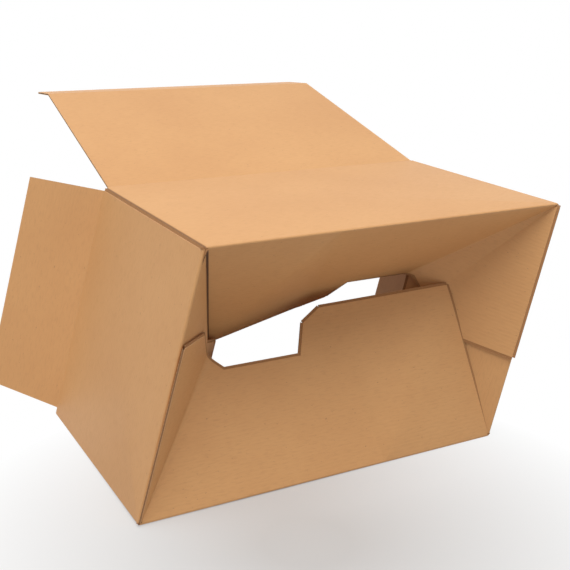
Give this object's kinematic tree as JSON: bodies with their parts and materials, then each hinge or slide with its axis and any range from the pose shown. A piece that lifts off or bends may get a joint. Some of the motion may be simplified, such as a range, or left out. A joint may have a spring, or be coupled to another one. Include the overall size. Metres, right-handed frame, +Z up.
{
  "type": "corrugated carton",
  "caption": "Kraft corrugated carton lying half set up on a long wall, with a folded crash-lock base, a raised lid with a tuck lip and splayed dust flaps.",
  "frame": {"origin": "centre of the outer face of the long wall that the carton rests on", "axes": "+X along the long walls, +Y from the folded base to the open end, +Z up through the opposite long wall"},
  "size_m": [0.4462, 0.4342, 0.2485],
  "materials": {
    "kraft_board": "matte brown kraft liner over fine flutes"
  },
  "bodies": {
    "carton": {"carton": "kraft_board"},
    "lid": {"lid": "kraft_board"},
    "tuck_lip": {"tuck_lip": "kraft_board"},
    "left_dust_flap": {"left_dust_flap": "kraft_board"},
    "right_dust_flap": {"right_dust_flap": "kraft_board"}
  },
  "joints": [
    {"name": "lid_hinge", "type": "hinge", "parent": "carton", "child": "lid", "pos_m": [-0.10391, 0.1, 0.19465], "axis": [1, 0, 0], "range_deg": [-15.5, 134.5]},
    {"name": "lip_crease", "type": "hinge", "parent": "lid", "child": "tuck_lip", "pos_m": [-0.10391, 0.29273, 0.24809], "axis": [1, 0, 0], "range_deg": [-70.5, 19.5]},
    {"name": "left_dust_hinge", "type": "hinge", "parent": "carton", "child": "left_dust_flap", "pos_m": [-0.15546, 0.1, 0.00092], "axis": [0.2554, 0, 0.9668], "range_deg": [-135, 100]},
    {"name": "right_dust_hinge", "type": "hinge", "parent": "carton", "child": "right_dust_flap", "pos_m": [0.20655, 0.1, 0.19404], "axis": [-0.2554, 0, -0.9668], "range_deg": [-52, 110]}
  ]
}
